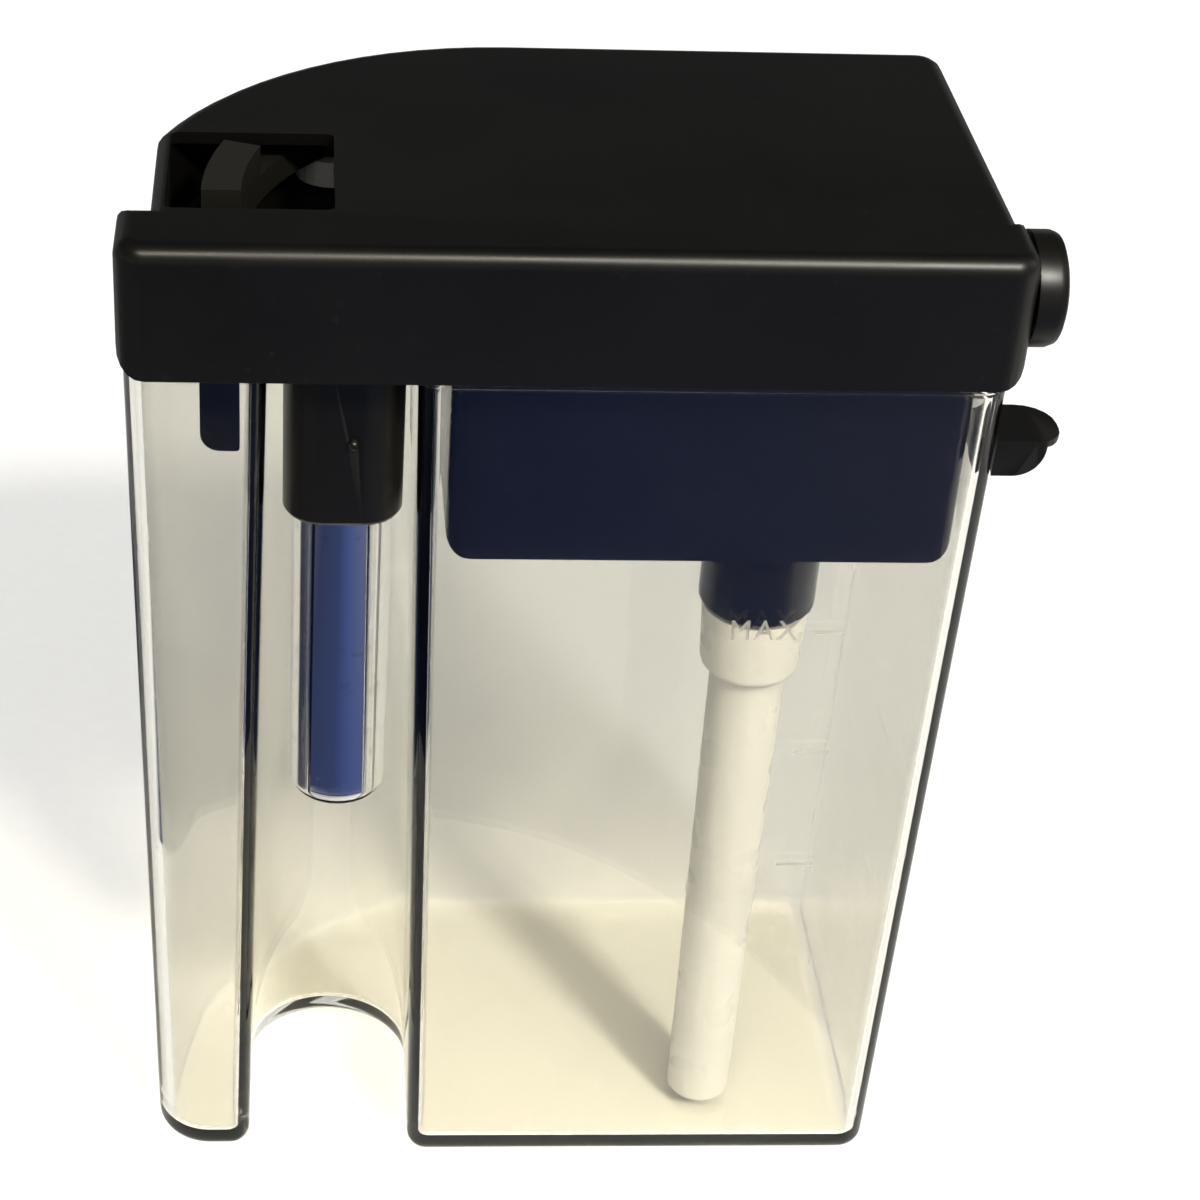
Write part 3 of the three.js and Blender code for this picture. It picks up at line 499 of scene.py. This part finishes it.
def make_level_marks():
    """Raised level marks on the front wall."""
    shape = bmesh.new()
    for k in range(MARK_COUNT):
        z = MARK_TOP_Z - MARK_STEP * k
        bar = bmesh.ops.create_cube(shape, size=1)["verts"]
        bmesh.ops.scale(shape, verts=bar, vec=(MARK_LENGTH, MARK_DEPTH, MARK_WIDTH))
        bmesh.ops.translate(shape, verts=bar, vec=(MARK_LEFT + MARK_LENGTH / 2,
                                                   front_wall(z) - MARK_PROUD + MARK_DEPTH / 2, z))
    bmesh.ops.bevel(shape, geom=shape.edges[:], offset=MARK_ROUND, segments=2, affect="EDGES")
    mesh = bpy.data.meshes.new("level_marks")
    shape.to_mesh(mesh)
    shape.free()
    marks = bpy.data.objects.new("level_marks", mesh)
    bpy.context.scene.collection.objects.link(marks)
    smooth(marks)
    settle(marks, "tank", "frosted")


def make_max_word():
    """The word MAX beside the highest mark, raised on the front wall."""
    text = bpy.data.curves.new("max_word", "FONT")
    text.body = "MAX"
    text.size = 1
    text.space_character = 1.25
    text.extrude = 0.1
    word = bpy.data.objects.new("max_word", text)
    bpy.context.scene.collection.objects.link(word)
    bpy.context.view_layer.update()
    mesh = bpy.data.meshes.new_from_object(word.evaluated_get(bpy.context.evaluated_depsgraph_get()))
    bpy.data.objects.remove(word)
    low = [min(v.co[i] for v in mesh.vertices) for i in range(3)]
    high = [max(v.co[i] for v in mesh.vertices) for i in range(3)]
    base = MARK_TOP_Z - WORD_HEIGHT / 2 + WORD_RISE
    for vertex in mesh.vertices:
        x, y, z = ((vertex.co[i] - low[i]) / (high[i] - low[i]) for i in range(3))
        height = base + WORD_HEIGHT * y
        vertex.co = (WORD_LEFT + (WORD_RIGHT - WORD_LEFT) * x,
                     front_wall(height) - MARK_PROUD + MARK_DEPTH * (1 - z), height)
    lettering = bpy.data.objects.new("max_mark", mesh)
    bpy.context.scene.collection.objects.link(lettering)
    settle(lettering, "tank", "frosted")


# ---- stage --------------------------------------------------------------------------------------
PAINTED_REFLECTION_BLUES = [  # painted reflection: colours of the glowing blue patch that stands in for a blue cloth in front of the table, from left to right
    (0.0, (0.10, 0.11, 0.14)), (0.22, (0.035, 0.045, 0.10)), (0.45, (0.038, 0.055, 0.14)),
    (0.58, (0.060, 0.090, 0.24)), (0.80, (0.12, 0.14, 0.25)),
]
REFLECTION_PATCH_LEFT, REFLECTION_PATCH_RIGHT = -0.30, 0.25
REFLECTION_PATCH_SIDES = ((0.44, 0.90, 0.0363), (0.25, 1.0, 0.0324))  # lines: across * x + along * y + offset < 0
REFLECTION_PATCH_CENTRE, REFLECTION_PATCH_NEAREST = (-0.0335, -0.0236, 0), 0.108
FLOOR_RADIUS, FLOOR_DROP = 6, 0.0002
AIM = Vector((0, 0, 0.09))  # what the lamps point at
DOME = 0.83


def make_floor():
    """A pale floor. Mirror-like reflections see a glowing blue patch on its near side: painted
    reflections standing in for a blue cloth, as in a dim room.
    """
    shape = bmesh.new()
    bmesh.ops.create_circle(shape, cap_ends=True, radius=FLOOR_RADIUS, segments=96)
    mesh = bpy.data.meshes.new("floor")
    shape.to_mesh(mesh)
    shape.free()
    floor = bpy.data.objects.new("floor", mesh)
    floor.location.z = -FLOOR_DROP
    bpy.context.scene.collection.objects.link(floor)
    material, tree = new_material("floor_paper")
    paper = tree.noise(300, 3)
    colour = tree.mix_colour(paper, (0.93, 0.93, 0.92), (0.97, 0.97, 0.965))
    pale = tree.principled(Base_Color=colour, Roughness=0.9).outputs[0]
    place = tree.add("ShaderNodeTexCoord").outputs["Object"]
    split = tree.add("ShaderNodeSeparateXYZ", Vector=place)
    across = tree.add("ShaderNodeMapRange", Value=split.outputs["X"], From_Min=REFLECTION_PATCH_LEFT,
                      From_Max=REFLECTION_PATCH_RIGHT)
    strips = tree.ramp(across.outputs[0], PAINTED_REFLECTION_BLUES)
    # painted reflection: the blue patch glows, and only mirror-like reflections see it, so it paints blue
    # reflections on the chrome and the black parts
    painted_reflection = tree.add("ShaderNodeEmission", Color=strips).outputs[0]
    path = tree.add("ShaderNodeLightPath")
    mirrored = tree.math("GREATER_THAN", path.outputs["Glossy Depth"], 0.5)
    wedge = tree.math("MULTIPLY", *(tree.side(split, *line) for line in REFLECTION_PATCH_SIDES))
    apart = tree.add("ShaderNodeVectorMath", operation="DISTANCE")
    tree.link(place, apart.inputs[0])
    apart.inputs[1].default_value = REFLECTION_PATCH_CENTRE
    far = tree.math("GREATER_THAN", apart.outputs["Value"], REFLECTION_PATCH_NEAREST)
    share = tree.math("MULTIPLY", mirrored, tree.math("MULTIPLY", wedge, far))
    mix = tree.add("ShaderNodeMixShader", Fac=share)
    tree.link(pale, mix.inputs[1])
    tree.link(painted_reflection, mix.inputs[2])
    tree.finish(mix.outputs[0])
    floor.data.materials.append(material)


def make_light(name, place, size, power, colour, only_mirrored=False):
    """An area lamp aimed at the object; with only_mirrored, diffuse surfaces aren't lit by it."""
    data = bpy.data.lights.new(name, "AREA")
    data.shape = "RECTANGLE"
    data.size, data.size_y = size
    data.energy = power
    data.color = colour
    lamp = bpy.data.objects.new(name, data)
    lamp.location = place
    aim = AIM - Vector(place)
    lamp.rotation_euler = aim.to_track_quat("-Z", "Y").to_euler()
    lamp.visible_diffuse = not only_mirrored
    lamp.visible_transmission = False
    bpy.context.scene.collection.objects.link(lamp)


def make_world():
    """A pale dome of soft light that mirror-like reflections see as a dim room with a light horizon."""
    world = bpy.data.worlds.new("studio")
    bpy.context.scene.world = world
    tree = Tree(world)
    place = tree.add("ShaderNodeTexCoord").outputs["Generated"]
    height = tree.add("ShaderNodeSeparateXYZ", Vector=place).outputs["Z"]
    room = tree.ramp(height, [(0.0, (0.55, 0.54, 0.51)), (0.10, (0.36, 0.36, 0.34)),
                              (0.25, (0.04, 0.045, 0.06)), (1.0, (0.018, 0.02, 0.03))])
    path = tree.add("ShaderNodeLightPath")
    mirrored = tree.math("MULTIPLY", tree.math("GREATER_THAN", path.outputs["Glossy Depth"], 0.5),
                         tree.math("LESS_THAN", path.outputs["Transmission Depth"], 0.5))
    colour = tree.mix_colour(mirrored, (1.0, 0.995, 0.98), room)
    shade = tree.add("ShaderNodeBackground", Color=colour, Strength=DOME).outputs[0]
    tree.add("ShaderNodeOutputWorld", Surface=shade)


def make_studio():
    make_floor()
    make_world()
    make_light("key", (0.5, -0.85, 1.15), (0.15, 0.15), 17, (1.0, 0.97, 0.90))
    make_light("strip", (0.05, -0.72, 1.2), (0.9, 0.14), 12, (1.0, 0.94, 0.76), only_mirrored=True)
    make_light("side", (1.5, 0.1, 0.8), (0.6, 0.8), 2, (0.97, 0.98, 1.0))
    bpy.context.scene.view_settings.view_transform = "Standard"


# ---- making -------------------------------------------------------------------------------------
REFINED = {  # node: rounding of its edges in millimetres
    "docking_lug": 0.6, "froth_lever": 0.4, "spout_sleeve": 0, "spout_nozzle": 0.15, "lid_base": 0.3,
    "lid_cover": 0.35, "froth_housing": 0.5, "intake_socket": 0.3, "intake_collar": 0.3,
    "intake_tube": 0.3, "steam_connector": 0.2, "spout_carrier": 0.25, "lid_seal": 0.2,
    "steam_port_seal": 0, "spout_inner_tube": 0.2,
}
make_camera()
make_tank()
make_level_marks()
make_max_word()
for node, edge in REFINED.items():
    refine(node, edge)
for node, item in frame["nodes"].items():
    if node not in REFINED and node != "tank":
        item.data.materials.clear()
        item.data.materials.append(MATERIALS[SLOT_OF[node]])
make_studio()
